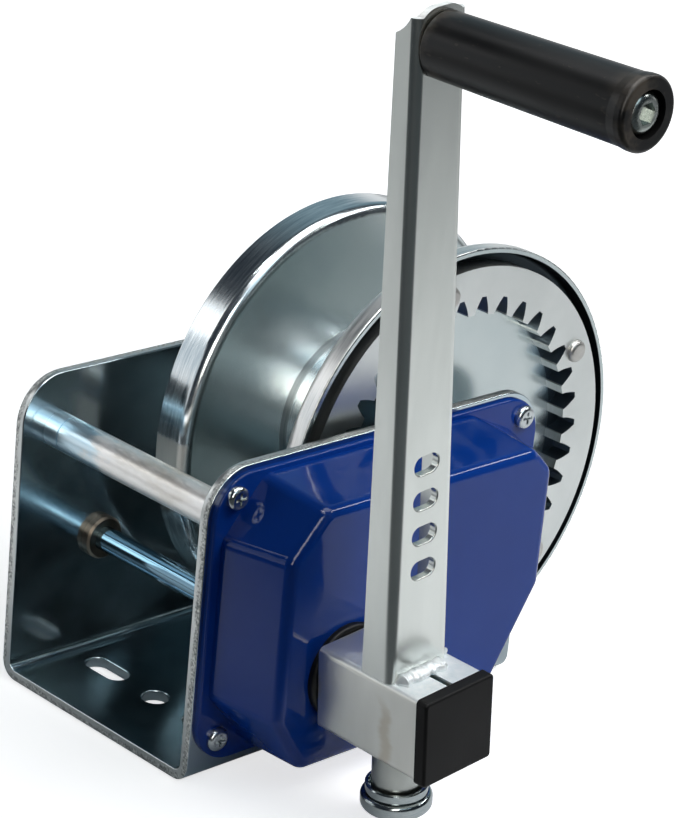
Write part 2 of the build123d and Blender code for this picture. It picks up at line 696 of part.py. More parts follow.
def cover_screws():
    """Four pan-head screws with cross recesses."""
    seat = OUTER_X + COVER_FLANGE
    top = seat + SCREW_HEAD_HEIGHT
    screws = []
    for y, z in SCREW_PLACES:
        head = rod(seat, top, SCREW_HEAD_RADIUS, y, z)
        head = fillet(head.edges().group_by(Axis.X)[-1], 2.2)
        for wide, tall in ((6.0, 1.3), (1.3, 6.0)):
            head -= side_box(top - 1.8, top + 1, y - wide / 2, y + wide / 2, z - tall / 2, z + tall / 2)
        screws.append(head + rod(INNER_X, seat, SCREW_RADIUS, y, z))
    return screws


def cover_seal():
    """The black lip ring round the crank's opening."""
    x0, x1 = SEAL_X
    seal = ring(x0, x1, SEAL_RADIUS, SEAL_BORE, *CRANK)
    return fillet(seal.edges().group_by(Axis.X)[-1], 1.5)


def hub_tube():
    """The square tube of the crank, with a slot at its open end and a hole for the pull pin."""
    x0, x1 = HUB_X
    inside = HUB_WIDTH - 2 * HUB_WALL
    outer = SIDE_PLANE * RectangleRounded(HUB_WIDTH, HUB_WIDTH, HUB_CORNER)
    inner = SIDE_PLANE * RectangleRounded(inside, inside, HUB_CORNER - 1)
    tube = Pos(x0, 0, 0) * extrude(outer - inner, x1 - x0)
    half = HUB_WIDTH / 2
    slot = HUB_SLOT_WIDTH / 2
    tube -= side_box(x1 - HUB_SLOT_LENGTH, x1 + 1, -slot, slot, half - HUB_WALL - 1, half + 1)
    tube -= Pos(PIN_X, 0, -half) * Cylinder(PIN_RADIUS + 0.6, 3 * HUB_WALL)
    return CRANK_PLACE * tube


def crank_socket():
    """The block inside the tube that fits on the drive shaft."""
    side = HUB_WIDTH - 2 * HUB_WALL
    block = SIDE_PLANE * RectangleRounded(side, side, HUB_CORNER - 1)
    x1 = HUB_X[1] - CAP_PLUG - 2.0
    block = Pos(HUB_X[0], 0, 0) * extrude(block, x1 - HUB_X[0])
    block -= rod(HUB_X[0] - 1, x1 + 1, DRIVE_THICK_RADIUS)
    block -= Pos(PIN_X, 0, -HUB_WIDTH / 4) * Cylinder(PIN_RADIUS + 0.6, HUB_WIDTH / 2)
    return CRANK_PLACE * block


def hub_cap():
    """The plastic plug in the end of the square tube."""
    x0 = HUB_X[1]
    lip = Pos(x0 + CAP_LIP / 2, 0, 0) * Box(CAP_LIP, CAP_WIDTH, CAP_WIDTH)
    lip = fillet(lip.edges().filter_by(Axis.X), 2.0)
    lip = fillet(lip.faces().sort_by(Axis.X)[-1].edges(), CAP_ROUND)
    side = HUB_WIDTH - 2 * HUB_WALL - 0.4
    plug = Pos(x0 - CAP_PLUG / 2, 0, 0) * Box(CAP_PLUG, side, side)
    return CRANK_PLACE * (lip + fillet(plug.edges().filter_by(Axis.X), 2.0))


def arm_outline(inset, foot, top):
    """The arm's tapering outline as corner points, from the lower left round to the lower right."""
    taper = (ARM_FOOT_WIDTH - ARM_HEAD_WIDTH) / 2 / (ARM_LENGTH - HUB_WIDTH / 2)

    def half(height):
        return ARM_FOOT_WIDTH / 2 - taper * (height - HUB_WIDTH / 2) - inset

    low = [(ARM_OFFSET - half(foot), foot), (ARM_OFFSET + half(foot), foot)]
    high = [(ARM_OFFSET + half(top), top), (ARM_OFFSET - half(top), top)]
    return low + high


def is_hole_rim(edge):
    """Whether an edge of the arm is on the outer rim of one of its four holes."""
    box = edge.bounding_box()
    low = ARM_HOLE_FIRST - ARM_HOLE_PITCH
    high = ARM_HOLE_FIRST + ARM_HOLES * ARM_HOLE_PITCH
    return abs(box.min.X - ARM_FACE_X) < 0.01 and low < box.min.Z and box.max.Z < high


def crank_arm():
    """A pressed channel, open at the back and shallower towards its head, with four holes in its web."""
    foot = HUB_WIDTH / 2
    back_x = ARM_FACE_X - ARM_FOOT_DEPTH
    web_x = ARM_FACE_X - ARM_SHEET
    arm = side_prism(arm_outline(0, foot, ARM_TOP), back_x, ARM_FACE_X)
    bends = arm.faces().sort_by(Axis.X)[-1].edges().sort_by(Axis.Y)
    arm = fillet([bends[0], bends[-1]], ARM_BEND)
    arm -= side_prism(arm_outline(ARM_SHEET, foot - 5, ARM_TOP + 5), back_x - 1, web_x)

    low_left, low_right, right, left = arm_outline(0, foot, ARM_TOP)
    rounded = FilletPolyline(low_left, left, right, low_right, radius=ARM_TOP_CORNER)
    blank = make_face(rounded + Line(low_right, low_left))
    ends = Pos(back_x - 1, 0, 0) * extrude(SIDE_PLANE * blank, ARM_FOOT_DEPTH + 2)
    ends += side_prism(arm_outline(0, foot, ARM_SHOULDER_TOP), back_x - 1, ARM_FACE_X + 1)
    arm = arm & ends

    head_x = ARM_FACE_X - ARM_HEAD_DEPTH
    slope = Line((back_x, foot - 1), (head_x, ARM_WALL_TOP))
    shoulder = ThreePointArc((head_x, ARM_WALL_TOP), (head_x + 4.8, ARM_WALL_TOP + 3.4), (web_x, ARM_TOP - 2))
    far_x = back_x - 9
    above = ARM_TOP + 9
    outside = Polyline((web_x, ARM_TOP - 2), (web_x, above), (far_x, above), (far_x, foot - 1), (back_x, foot - 1))
    behind = make_face(slope + shoulder + outside)
    arm -= extrude(Plane.XZ * behind, ARM_FOOT_WIDTH, both=True)

    hole = extrude(SIDE_PLANE * SlotOverall(ARM_HOLE_LENGTH, ARM_HOLE_HEIGHT), 2 * ARM_SHEET, both=True)
    for k in range(ARM_HOLES):
        arm -= Pos(ARM_FACE_X, ARM_OFFSET, ARM_HOLE_FIRST + k * ARM_HOLE_PITCH) * hole
    rims = [edge for edge in arm.edges() if is_hole_rim(edge)]
    arm = fillet(rims, ARM_EDGE_ROUND)
    arm -= rod(web_x - 1, ARM_FACE_X + 1, GRIP_BORE, ARM_OFFSET, ARM_LENGTH)
    return CRANK_PLACE * arm


def arm_weld():
    """The fillet weld along the foot of the arm's web, and a shorter one beside its right wall."""
    foot = HUB_WIDTH / 2
    width = ARM_FOOT_WIDTH - 2 * ARM_BEND
    crown = WELD_LEG * 0.62
    legs = Polyline((0, WELD_LEG), (0, 0), (WELD_LEG, 0))
    bead = make_face(legs + ThreePointArc((WELD_LEG, 0), (crown, crown), (0, WELD_LEG)))
    front = extrude(Plane.XZ * bead, width)
    front = Pos(ARM_FACE_X, ARM_OFFSET + width / 2, foot) * front
    length = ARM_FOOT_DEPTH - 2 * ARM_BEND
    side = extrude(SIDE_PLANE * bead, length)
    side = Pos(ARM_FACE_X - ARM_FOOT_DEPTH + ARM_BEND, ARM_OFFSET + ARM_FOOT_WIDTH / 2, foot) * side
    return [CRANK_PLACE * front, CRANK_PLACE * side]


def grip():
    """The plastic sleeve that turns on the grip bolt."""
    x0, x1 = GRIP_X
    sleeve = turned([
        (x0, GRIP_BORE + 0.1),
        (x0, GRIP_ROOT_RADIUS),
        (x1 - GRIP_LIP - GRIP_FLARE, GRIP_RADIUS),
        (x1 - GRIP_LIP, GRIP_LIP_RADIUS),
        (x1, GRIP_LIP_RADIUS),
        (x1, GRIP_RECESS_RADIUS),
        (x1 - GRIP_RECESS, GRIP_RECESS_RADIUS),
        (x1 - GRIP_RECESS, GRIP_BORE + 0.1),
    ])
    sleeve = fillet(round_edges(sleeve, x1, GRIP_LIP_RADIUS), 1.8)
    sleeve = fillet(round_edges(sleeve, x0, GRIP_ROOT_RADIUS), 1.2)
    return CRANK_PLACE * Pos(0, ARM_OFFSET, ARM_LENGTH) * sleeve


def grip_bolt():
    """The bolt through the grip, with a domed head sunk in the grip's end."""
    seat = GRIP_X[1] - GRIP_RECESS + END_GAP
    shank = rod(ARM_FACE_X - ARM_SHEET - GRIP_NUT - 1, seat, GRIP_BORE)
    head = rod(seat, seat + BOLT_HEAD, BOLT_HEAD_RADIUS)
    head = fillet(head.edges().group_by(Axis.X)[-1], BOLT_HEAD_DOME)
    head -= hexagon(seat + BOLT_HEAD - BOLT_SOCKET_DEPTH, seat + BOLT_HEAD + 1, BOLT_SOCKET_FLATS)
    return CRANK_PLACE * Pos(0, ARM_OFFSET, ARM_LENGTH) * (shank + head)


def grip_nut():
    """The round nut of the grip bolt, inside the arm."""
    x1 = ARM_FACE_X - ARM_SHEET
    return CRANK_PLACE * ring(x1 - GRIP_NUT, x1, GRIP_NUT_RADIUS, GRIP_BORE, ARM_OFFSET, ARM_LENGTH)


def upright(profile):
    """A closed profile of (radius, height) points, turned about the pull pin's axis."""
    return Pos(PIN_X, 0, 0) * revolve(Plane.XZ * make_face(Polyline(*profile, close=True)), Axis.Z)


def pin_housing():
    """The neck under the square tube that guides the pull pin."""
    top = -HUB_WIDTH / 2
    bore = PIN_RADIUS + PIN_FIT
    return CRANK_PLACE * upright([
        (NECK_BORE, top),
        (NECK_RADIUS, top),
        (NECK_RADIUS, NECK_END),
        (bore, NECK_END),
        (bore, NECK_END + NECK_LIP),
        (NECK_BORE, NECK_END + NECK_LIP),
    ])


def lock_pin():
    """The pull pin and its knob in one turned piece: a round bead under a narrower, cupped collar."""
    cup = KNOB_TOP - KNOB_CUP_DEPTH
    bead = KNOB_BOTTOM + KNOB_BEAD
    knob = upright([
        (0, PIN_TIP),
        (PIN_RADIUS, PIN_TIP),
        (PIN_RADIUS, cup),
        (KNOB_CUP_RADIUS, cup),
        (KNOB_CUP_RADIUS, KNOB_TOP),
        (KNOB_COLLAR_RADIUS - KNOB_COLLAR_EDGE, KNOB_TOP),
        (KNOB_COLLAR_RADIUS, KNOB_TOP - KNOB_COLLAR_EDGE),
        (KNOB_COLLAR_RADIUS, bead + KNOB_WAIST),
        (KNOB_WAIST_RADIUS, bead + KNOB_WAIST),
        (KNOB_WAIST_RADIUS, bead),
        (KNOB_RADIUS, bead),
        (KNOB_RADIUS, KNOB_BOTTOM),
        (0, KNOB_BOTTOM),
    ])
    rims = [edge for edge in knob.edges().filter_by(GeomType.CIRCLE) if edge.radius > KNOB_RADIUS - 0.1]
    return CRANK_PLACE * fillet(rims, KNOB_EDGE)


def lock_spring():
    """The coil inside the neck."""
    low = NECK_END + NECK_LIP + SPRING_WIRE + 0.2
    high = -HUB_WIDTH / 2 - SPRING_WIRE - 0.2
    return CRANK_PLACE * Pos(PIN_X, 0, low) * coil(SPRING_RADIUS, SPRING_WIRE, high - low, SPRING_TURNS)


PIECES = {
    "frame": frame(),
    "spacer_tube": spacer_tube(),
    "tie_rod": tie_rod(),
    "drum_barrel": ring(LEFT_FACE_X, RIGHT_FACE_X, BARREL_RADIUS, BARREL_RADIUS - BARREL_WALL, *DRUM),
    "drum_flange_left": drum_flange(LEFT_FACE_X, LEFT_RIM_X),
    "drum_flange_right": right_flange(),
    "drum_tube": ring(DRUM_TUBE_LEFT, DRUM_TUBE_RIGHT, DRUM_TUBE_RADIUS, DRUM_TUBE_BORE, *DRUM),
    "drum_bushes": drum_bushes(),
    "ring_gear": ring_gear(),
    "gear_rivets": gear_rivets(),
    "drum_axle": drum_axle(),
    "axle_nut": axle_nut(),
    "axle_washer": ring(-OUTER_X - WASHER_THICKNESS, -OUTER_X, 15.0, AXLE_RADIUS, *DRUM),
    "axle_spacers": axle_spacers(),
    "intermediate_shaft": intermediate_shaft(),
    "intermediate_gear": intermediate_gear(),
    "intermediate_pinion": intermediate_pinion(),
    "intermediate_bush": intermediate_bush(),
    "intermediate_clip": intermediate_clip(),
    "drive_shaft": drive_shaft(),
    "crank_pinion": crank_pinion(),
    "left_shaft_bush": left_shaft_bush(),
    "right_shaft_bush": right_shaft_bush(),
    "shaft_clip": shaft_clip(),
    "brake_flange": brake_flange(),
    "friction_disc_inner": ring(*INNER_DISC_X, DISC_RADIUS, RATCHET_SEAT_RADIUS, *CRANK),
    "friction_disc_outer": ring(*OUTER_DISC_X, DISC_RADIUS, RATCHET_SEAT_RADIUS, *CRANK),
    "pressure_hub": pressure_hub(),
    "ratchet_wheel": ratchet_wheel(),
    "pawl": pawl(),
    "pawl_stud": pawl_stud(),
    "pawl_spring": pawl_spring(),
    "gear_cover": gear_cover(),
    "cover_screws": cover_screws(),
    "cover_seal": cover_seal(),
    "hub_tube": hub_tube(),
    "crank_socket": crank_socket(),
    "hub_cap": hub_cap(),
    "crank_arm": crank_arm(),
    "arm_weld": arm_weld(),
    "grip": grip(),
    "grip_bolt": grip_bolt(),
    "grip_nut": grip_nut(),
    "pin_housing": pin_housing(),
    "lock_pin": lock_pin(),
    "lock_spring": lock_spring(),
}

os.makedirs("parts", exist_ok=True)
for name, shape in PIECES.items():
    solids = shape if isinstance(shape, list) else [shape]
    export_step(Compound(children=[s for part in solids for s in part.solids()]), f"parts/{name}.step")
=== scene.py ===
import json
import math
from collections import namedtuple

import bmesh
import bpy
from mathutils import Matrix, Vector, noise


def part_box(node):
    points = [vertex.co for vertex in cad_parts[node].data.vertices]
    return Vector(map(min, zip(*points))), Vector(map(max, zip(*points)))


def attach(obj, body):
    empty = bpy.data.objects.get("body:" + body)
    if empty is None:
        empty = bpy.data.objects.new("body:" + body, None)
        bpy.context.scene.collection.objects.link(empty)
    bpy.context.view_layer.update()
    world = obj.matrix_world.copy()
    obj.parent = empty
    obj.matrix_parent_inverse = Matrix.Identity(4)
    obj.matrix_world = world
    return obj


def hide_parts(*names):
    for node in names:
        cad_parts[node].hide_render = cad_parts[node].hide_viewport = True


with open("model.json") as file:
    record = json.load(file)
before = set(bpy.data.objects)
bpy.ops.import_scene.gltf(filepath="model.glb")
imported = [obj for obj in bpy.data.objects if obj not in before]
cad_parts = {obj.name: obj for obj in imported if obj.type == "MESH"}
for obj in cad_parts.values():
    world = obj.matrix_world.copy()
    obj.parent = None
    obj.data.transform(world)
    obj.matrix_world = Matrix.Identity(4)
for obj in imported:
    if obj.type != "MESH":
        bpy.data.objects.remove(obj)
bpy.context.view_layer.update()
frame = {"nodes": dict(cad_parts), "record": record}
NODES = frame["nodes"]
MM = 0.001

# The photograph's camera, fitted to its edges: angles in degrees, distances in metres, the rest in pixels
PHOTO_HEIGHT = 818
PHOTO_CENTRE = (338, 409)
CAMERA_AZIMUTH = 44.57
CAMERA_ELEVATION = 21.46
CAMERA_ROLL = -5.48
CAMERA_TARGET = Vector((0.020, -0.014, 0.120))
CAMERA_DISTANCE = 1.42056
CAMERA_SIDESTEP = 0.01547
CAMERA_RAISE = 0.02139
CAMERA_RANGE = (0.05, 50.0)
FOCAL_PIXELS = 3098.24
VIEW_CENTRE = (320.10, 414.62)
SENSOR = 24.0


def centre_of(node):
    """The middle of a CAD node's box."""
    low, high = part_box(node)
    return (low + high) / 2


def radius_of(node):
    """The outer radius of a CAD node that is round about the drum's axis."""
    low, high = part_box(node)
    return (high.y - low.y) / 2


# Axes of the model
ALONG = Vector((1.0, 0.0, 0.0))
UP = Vector((0.0, 0.0, 1.0))
FORWARD = Vector((0.0, -1.0, 0.0))
DRUM_CENTRE = centre_of("drum_flange_left")
SHAFT_CENTRE = centre_of("drive_shaft")
CRANK_LEAN = math.radians(5.5)
ARM_UP = Vector((0.0, -math.sin(CRANK_LEAN), math.cos(CRANK_LEAN)))
ARM_ACROSS = Vector((0.0, math.cos(CRANK_LEAN), math.sin(CRANK_LEAN)))

# Sizes of the frame, in metres
SHEET = 0.005
PLATE_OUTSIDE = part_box("frame")[1].x
PLATE_INSIDE = PLATE_OUTSIDE - SHEET
FRAME_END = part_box("frame")[1].y
ABOVE_BEND = 0.012

# Sizes of the drum, in metres
FLANGE_SHEET = 0.0025
FLANGE_INSIDE = radius_of("drum_flange_right") - FLANGE_SHEET
BARREL_RADIUS = 0.0425
RING_CREST = 0.0740
RING_ROOT = 0.0826
RING_RIM = radius_of("ring_gear")

# Sizes of the crank, in millimetres
HUB_TOP = 20.0
ARM_FACE = 155.5
ARM_RIGHT_WALL = 15.0
# How far under the hub's top the painted highlight begins
HIGHLIGHT_EDGE = 1.4


def on_crank(x, across, up):
    """A point given in millimetres in the crank's own directions."""
    axis = Vector((0.0, SHAFT_CENTRE.y, SHAFT_CENTRE.z))
    return axis + (ALONG * x + ARM_ACROSS * across + ARM_UP * up) * MM


def camera_axes():
    """The camera's own right, up and backward directions."""
    azimuth = math.radians(CAMERA_AZIMUTH)
    elevation = math.radians(CAMERA_ELEVATION)
    roll = math.radians(CAMERA_ROLL)
    back = Vector((
        math.sin(azimuth) * math.cos(elevation),
        -math.cos(azimuth) * math.cos(elevation),
        math.sin(elevation),
    ))
    right = Vector((math.cos(azimuth), math.sin(azimuth), 0.0))
    up = back.cross(right)
    rolled_right = right * math.cos(roll) - up * math.sin(roll)
    rolled_up = right * math.sin(roll) + up * math.cos(roll)
    return rolled_right, rolled_up, back


def towards_camera():
    """The level direction from the object to the camera."""
    back = camera_axes()[2]
    return Vector((back.x, back.y, 0.0)).normalized()


def make_camera():
    """The camera at the photograph's place."""
    right, up, back = camera_axes()
    place = CAMERA_TARGET + back * CAMERA_DISTANCE + right * CAMERA_SIDESTEP + up * CAMERA_RAISE
    data = bpy.data.cameras.new("camera")
    data.sensor_fit = "VERTICAL"
    data.sensor_height = SENSOR
    data.lens = FOCAL_PIXELS / PHOTO_HEIGHT * SENSOR
    data.shift_x = (PHOTO_CENTRE[0] - VIEW_CENTRE[0]) / PHOTO_HEIGHT
    data.shift_y = (VIEW_CENTRE[1] - PHOTO_CENTRE[1]) / PHOTO_HEIGHT
    data.clip_start, data.clip_end = CAMERA_RANGE
    camera = bpy.data.objects.new("camera", data)
    camera.matrix_world = Matrix.Translation(place) @ Matrix((right, up, back)).transposed().to_4x4()
    bpy.context.scene.collection.objects.link(camera)
    bpy.context.scene.camera = camera


# Shader helpers


def add(tree, kind, inputs=None, **settings):
    """A shader node, with its settings, and each input given as a value or as the socket that feeds it."""
    node = tree.nodes.new(kind)
    for name, value in settings.items():
        setattr(node, name, value)
    for key, value in (inputs or {}).items():
        if isinstance(value, bpy.types.NodeSocket):
            tree.links.new(value, node.inputs[key])
        else:
            node.inputs[key].default_value = value
    return node


def maths(tree, operation, first, second=0.0):
    """One step of arithmetic."""
    return add(tree, "ShaderNodeMath", {0: first, 1: second}, operation=operation).outputs[0]


def both(tree, first, second):
    """Where two masks meet."""
    return maths(tree, "MULTIPLY", first, second)


def either(tree, first, second):
    """Where one mask or the other is, or the larger of two numbers."""
    return maths(tree, "MAXIMUM", first, second)


def unsigned(tree, value):
    """A number without its sign."""
    return maths(tree, "ABSOLUTE", value)


def vector_maths(tree, operation, first, second):
    """One step of arithmetic with vectors."""
    return add(tree, "ShaderNodeVectorMath", {0: first, 1: second}, operation=operation).outputs[0]


def dot(tree, vector, axis):
    """How far a vector goes along an axis."""
    return add(tree, "ShaderNodeVectorMath", {0: vector, 1: axis}, operation="DOT_PRODUCT").outputs["Value"]


def length(tree, vector):
    """How long a vector is."""
    return add(tree, "ShaderNodeVectorMath", {0: vector}, operation="LENGTH").outputs["Value"]


def split(tree, vector):
    """The parts of a vector, by the names X, Y and Z."""
    return add(tree, "ShaderNodeSeparateXYZ", {0: vector}).outputs


def coordinates(tree, kind="Object"):
    """A point's place on its piece, in metres, or another kind of coordinates."""
    return add(tree, "ShaderNodeTexCoord").outputs[kind]


def ramp(tree, value, start, end, low=0.0, high=1.0):
    """A smooth step from one number to another."""
    inputs = {"Value": value, "From Min": start, "From Max": end, "To Min": low, "To Max": high}
    return add(tree, "ShaderNodeMapRange", inputs, interpolation_type="SMOOTHSTEP").outputs["Result"]


def band(tree, value, start, end, soft):
    """One between two numbers and nothing outside them."""
    return both(tree, ramp(tree, value, start, start + soft), ramp(tree, value, end, end - soft))


def spread(tree, value, low, high, start=0.3, end=0.7):
    """A noise value carried to a range of numbers."""
    inputs = {"Value": value, "From Min": start, "From Max": end, "To Min": low, "To Max": high}
    return add(tree, "ShaderNodeMapRange", inputs).outputs["Result"]


def tint(tree, value, low, high, start=0.3, end=0.7):
    """A noise value carried to a range of colours."""
    node = add(tree, "ShaderNodeValToRGB", {"Fac": value})
    first, last = node.color_ramp.elements
    first.position, last.position = start, end
    first.color, last.color = (*low, 1.0), (*high, 1.0)
    return node.outputs["Color"]


def blend_colours(tree, factor, first, second):
    """One colour turning into another."""
    node = add(tree, "ShaderNodeMix", {"Factor": factor}, data_type="RGBA")
    for socket, value in ((node.inputs[6], first), (node.inputs[7], second)):
        if isinstance(value, bpy.types.NodeSocket):
            tree.links.new(value, socket)
        else:
            socket.default_value = (*value, 1.0)
    return node.outputs[2]


def blend_numbers(tree, factor, first, second):
    """One number turning into another."""
    return add(tree, "ShaderNodeMix", {"Factor": factor, 2: first, 3: second}, data_type="FLOAT").outputs[0]


def bump(tree, height, distance, strength=1.0, below=None):
    """A bump of a real height in metres, over another bump if there is one."""
    inputs = {"Height": height, "Distance": distance, "Strength": strength}
    if below is not None:
        inputs["Normal"] = below
    return add(tree, "ShaderNodeBump", inputs).outputs["Normal"]


def grain(tree, scale, detail=4.0, stretch=(1.0, 1.0, 1.0)):
    """A noise value fixed to the piece; scale is in features per metre, and stretch draws them out."""
    mapped = add(tree, "ShaderNodeMapping", {"Vector": coordinates(tree), "Scale": stretch})
    inputs = {"Vector": mapped.outputs["Vector"], "Scale": scale, "Detail": detail, "Roughness": 0.55}
    return add(tree, "ShaderNodeTexNoise", inputs).outputs["Fac"]


def polar(tree, centre, axis):
    """A point's place along an axis, its distance from it, and the direction outwards."""
    away = vector_maths(tree, "SUBTRACT", coordinates(tree), centre)
    along = dot(tree, away, axis)
    lift = add(tree, "ShaderNodeVectorMath", {0: axis, "Scale": along}, operation="SCALE").outputs[0]
    spoke = vector_maths(tree, "SUBTRACT", away, lift)
    heading = add(tree, "ShaderNodeVectorMath", {0: spoke}, operation="NORMALIZE").outputs[0]
    return along, length(tree, spoke), heading


def spun_grain(tree, centre, axis, fine, turns=5.0, detail=3.0):
    """A noise value drawn out into streaks round an axis; fine is in streaks per metre."""
    along, radius, heading = polar(tree, centre, axis)
    side = axis.orthogonal().normalized()
    vector = add(tree, "ShaderNodeCombineXYZ", {
        0: maths(tree, "MULTIPLY", along, fine),
        1: maths(tree, "MULTIPLY", radius, fine),
        2: maths(tree, "MULTIPLY", dot(tree, heading, side), turns),
    }).outputs[0]
    inputs = {
        "Vector": vector, "W": maths(tree, "MULTIPLY", dot(tree, heading, axis.cross(side)), turns),
        "Scale": 1.0, "Detail": detail, "Roughness": 0.6,
    }
    return add(tree, "ShaderNodeTexNoise", inputs, noise_dimensions="4D").outputs["Fac"]


def start_material(name):
    """An empty material with a Principled shader: its tree and that shader."""
    material = bpy.data.materials.new(name)
    material.use_nodes = True
    tree = material.node_tree
    tree.nodes.clear()
    shader = add(tree, "ShaderNodeBsdfPrincipled")
    output = add(tree, "ShaderNodeOutputMaterial")
    tree.links.new(shader.outputs["BSDF"], output.inputs["Surface"])
    return material, tree, shader


def feed(tree, shader, **inputs):
    """Values or sockets for the Principled shader, with spaces written as underscores."""
    for key, value in inputs.items():
        socket = shader.inputs[key.replace("_", " ")]
        if isinstance(value, bpy.types.NodeSocket):
            tree.links.new(value, socket)
        else:
            socket.default_value = value


# Tones of the finishes, from their darkest to their palest

SHEET_TONES = ((0.44, 0.52, 0.56), (0.53, 0.60, 0.63))
FLANGE_TONES = ((0.48, 0.545, 0.555), (0.56, 0.615, 0.615))
SATIN_TONES = ((0.63, 0.66, 0.635), (0.74, 0.765, 0.735))
RING_TONES = ((0.60, 0.63, 0.62), (0.70, 0.725, 0.715))
HUB_TONES = ((0.70, 0.70, 0.65), (0.87, 0.875, 0.83))
# The shaft's blue tint is a painted reflection of bluish light
SHAFT_TONES_WITH_BLUE_REFLECTION = ((0.14, 0.26, 0.35), (0.24, 0.36, 0.44))
# The tube's blue tint is a painted reflection of bluish light
TUBE_TONES_WITH_BLUE_REFLECTION = ((0.48, 0.68, 0.80), (0.72, 0.86, 0.93))
STAIN_TONES = ((0.68, 0.63, 0.55), (0.94, 0.93, 0.91))
KNOB_TONES = ((0.30, 0.345, 0.355), (0.40, 0.435, 0.44))
NECK_TONES = ((0.34, 0.36, 0.34), (0.44, 0.46, 0.44))
# The weld beads' pale tone is a painted highlight
WELD_HIGHLIGHT_TONES = ((0.78, 0.83, 0.85), (0.95, 0.96, 0.96))
# The hub top's pale tone is a painted highlight
HUB_HIGHLIGHT_TONES = ((0.78, 0.84, 0.86), (0.94, 0.96, 0.96))
# Pale tones: a painted highlight on the arm's upper edge, and the near rim's own tone
PALE_TONES = ((0.70, 0.715, 0.705), (0.96, 0.96, 0.94))
BARREL_TONES = ((0.72, 0.77, 0.79), (0.95, 0.96, 0.96))
RIM_TONES = ((0.50, 0.56, 0.60), (0.82, 0.86, 0.87))
FASTENER_TONES = ((0.42, 0.46, 0.48), (0.60, 0.63, 0.64))
TORN_TONES = ((0.20, 0.215, 0.21), (0.78, 0.79, 0.77))
GEAR_TONES = ((0.20, 0.20, 0.21), (0.36, 0.36, 0.37))
BRONZE_TONES = ((0.10, 0.083, 0.066), (0.19, 0.162, 0.130))
SPRING_TONES = ((0.30, 0.30, 0.31), (0.46, 0.46, 0.47))
BOLT_TONES = ((0.26, 0.29, 0.27), (0.48, 0.51, 0.49))
RIVET_TONES = ((0.42, 0.41, 0.39), (0.62, 0.61, 0.585))
PAINT_TONES = ((0.0035, 0.041, 0.268), (0.0050, 0.049, 0.305))

# Single colours
BURNISHED = (0.60, 0.62, 0.615)
# Painted shade on the base's top inside the frame
BASE_SHADE = (0.20, 0.27, 0.30)
BROWN_STREAK = (0.50, 0.41, 0.28)
GRIP_BLACK = (0.0042, 0.0040, 0.0041)
# Dust, and a painted warm sheen at the grip's ends
GRIP_DUST_AND_SHEEN = (0.060, 0.048, 0.037)
RUBBER_BLACK = (0.005, 0.005, 0.0055)
CAP_BLACK = (0.0050, 0.0046, 0.0046)
LINING_BROWN = (0.16, 0.11, 0.08)

# Marks on the drum: tone and roughness; the first two are painted shade, the last a seam
PAINTED_SHADE = ((0.030, 0.040, 0.047), 0.40)
GAP_SHADE = ((0.170, 0.205, 0.235), 0.32)
SEAM = ((0.74, 0.72, 0.66), 0.48)

# Stretches of the grain along a piece's own direction
ALONG_SHAFT = (0.2, 1.0, 1.0)
ALONG_ARM = (1.0, 1.0, 0.25)
ALONG_ARM_LINES = (1.0, 1.0, 0.06)
ALONG_SHEET_LINES = (1.0, 0.06, 1.0)

# Heights of the surfaces' bumps, in metres
LINE_HEIGHT = 0.000004
STREAK_HEIGHT = 0.00004
TEAR_HEIGHT = 0.00040
PIT_HEIGHT = 0.00003
WAVE_HEIGHT = 0.00022
PEEL_HEIGHT = 0.00003
SPECK_HEIGHT = 0.00002
GRAIN_HEIGHT = 0.00001

# Places where a finish or a painted highlight changes, in metres: along the tube and the hub, and up the
# crank
TUBE_CHANGE = (-0.034, -0.018)
HIGHLIGHT_START = (0.124, 0.132)
STREAK_SPAN = (0.1475, 0.1575)
STREAK_TOP = (-0.004, -0.016)
HIGHLIGHT_HEIGHT = (0.28, 0.29)


# Materials


def zinc(name, tones, rough, stretch=(1.0, 1.0, 1.0)):
    """Zinc-plated steel: a cloudy tone, uneven gloss and hair-fine rolling lines."""
    material, tree, shader = start_material(name)
    lines = grain(tree, 500.0, 3.0, tuple(s * s for s in stretch))
    feed(
        tree, shader,
        Base_Color=tint(tree, grain(tree, 20.0, 5.0, stretch), *tones),
        Metallic=1.0,
        Roughness=spread(tree, grain(tree, 90.0, 4.0, stretch), *rough),
        Normal=bump(tree, lines, LINE_HEIGHT),
    )
    return material


# What places a mark on the drum: the distance from the axis, the direction outwards, and how far the
# surface faces along the axis and outwards
Spot = namedtuple("Spot", "radius heading facing outward")


def spun_zinc(name, tones, rim_tones, face_rough, rim_rough, centre, axis, fine=900.0, marks=()):
    """Turned zinc-plated steel: satin faces, streaked rims, and marks of other tones over them, painted
    shade or a seam.
    """
    material, tree, shader = start_material(name)
    streaks = spun_grain(tree, centre, axis, fine)
    normal = coordinates(tree, "Normal")
    facing = dot(tree, normal, axis)
    flat = ramp(tree, unsigned(tree, facing), 0.6, 0.95)
    rim_tone = tint(tree, streaks, *rim_tones)
    face_tone = tint(tree, grain(tree, 24.0, 4.0), *tones)
    colour = blend_colours(tree, flat, rim_tone, face_tone)
    satin = spread(tree, grain(tree, 40.0, 4.0), *face_rough)
    rough = blend_numbers(tree, flat, spread(tree, streaks, *rim_rough), satin)
    _, radius, heading = polar(tree, centre, axis)
    spot = Spot(radius, heading, facing, dot(tree, normal, heading))
    for where, tone, dullness in marks:
        mask = where(tree, spot)
        colour = blend_colours(tree, mask, colour, tone)
        rough = blend_numbers(tree, mask, rough, dullness)
    feed(
        tree, shader,
        Base_Color=colour,
        Metallic=1.0,
        Roughness=rough,
        Normal=bump(tree, streaks, STREAK_HEIGHT, blend_numbers(tree, flat, 1.0, 0.0)),
    )
    return material


def shaded_hollow(tree, spot):
    """Painted shade on the hollow side of a flange's rim."""
    return ramp(tree, spot.outward, -0.3, -0.8)


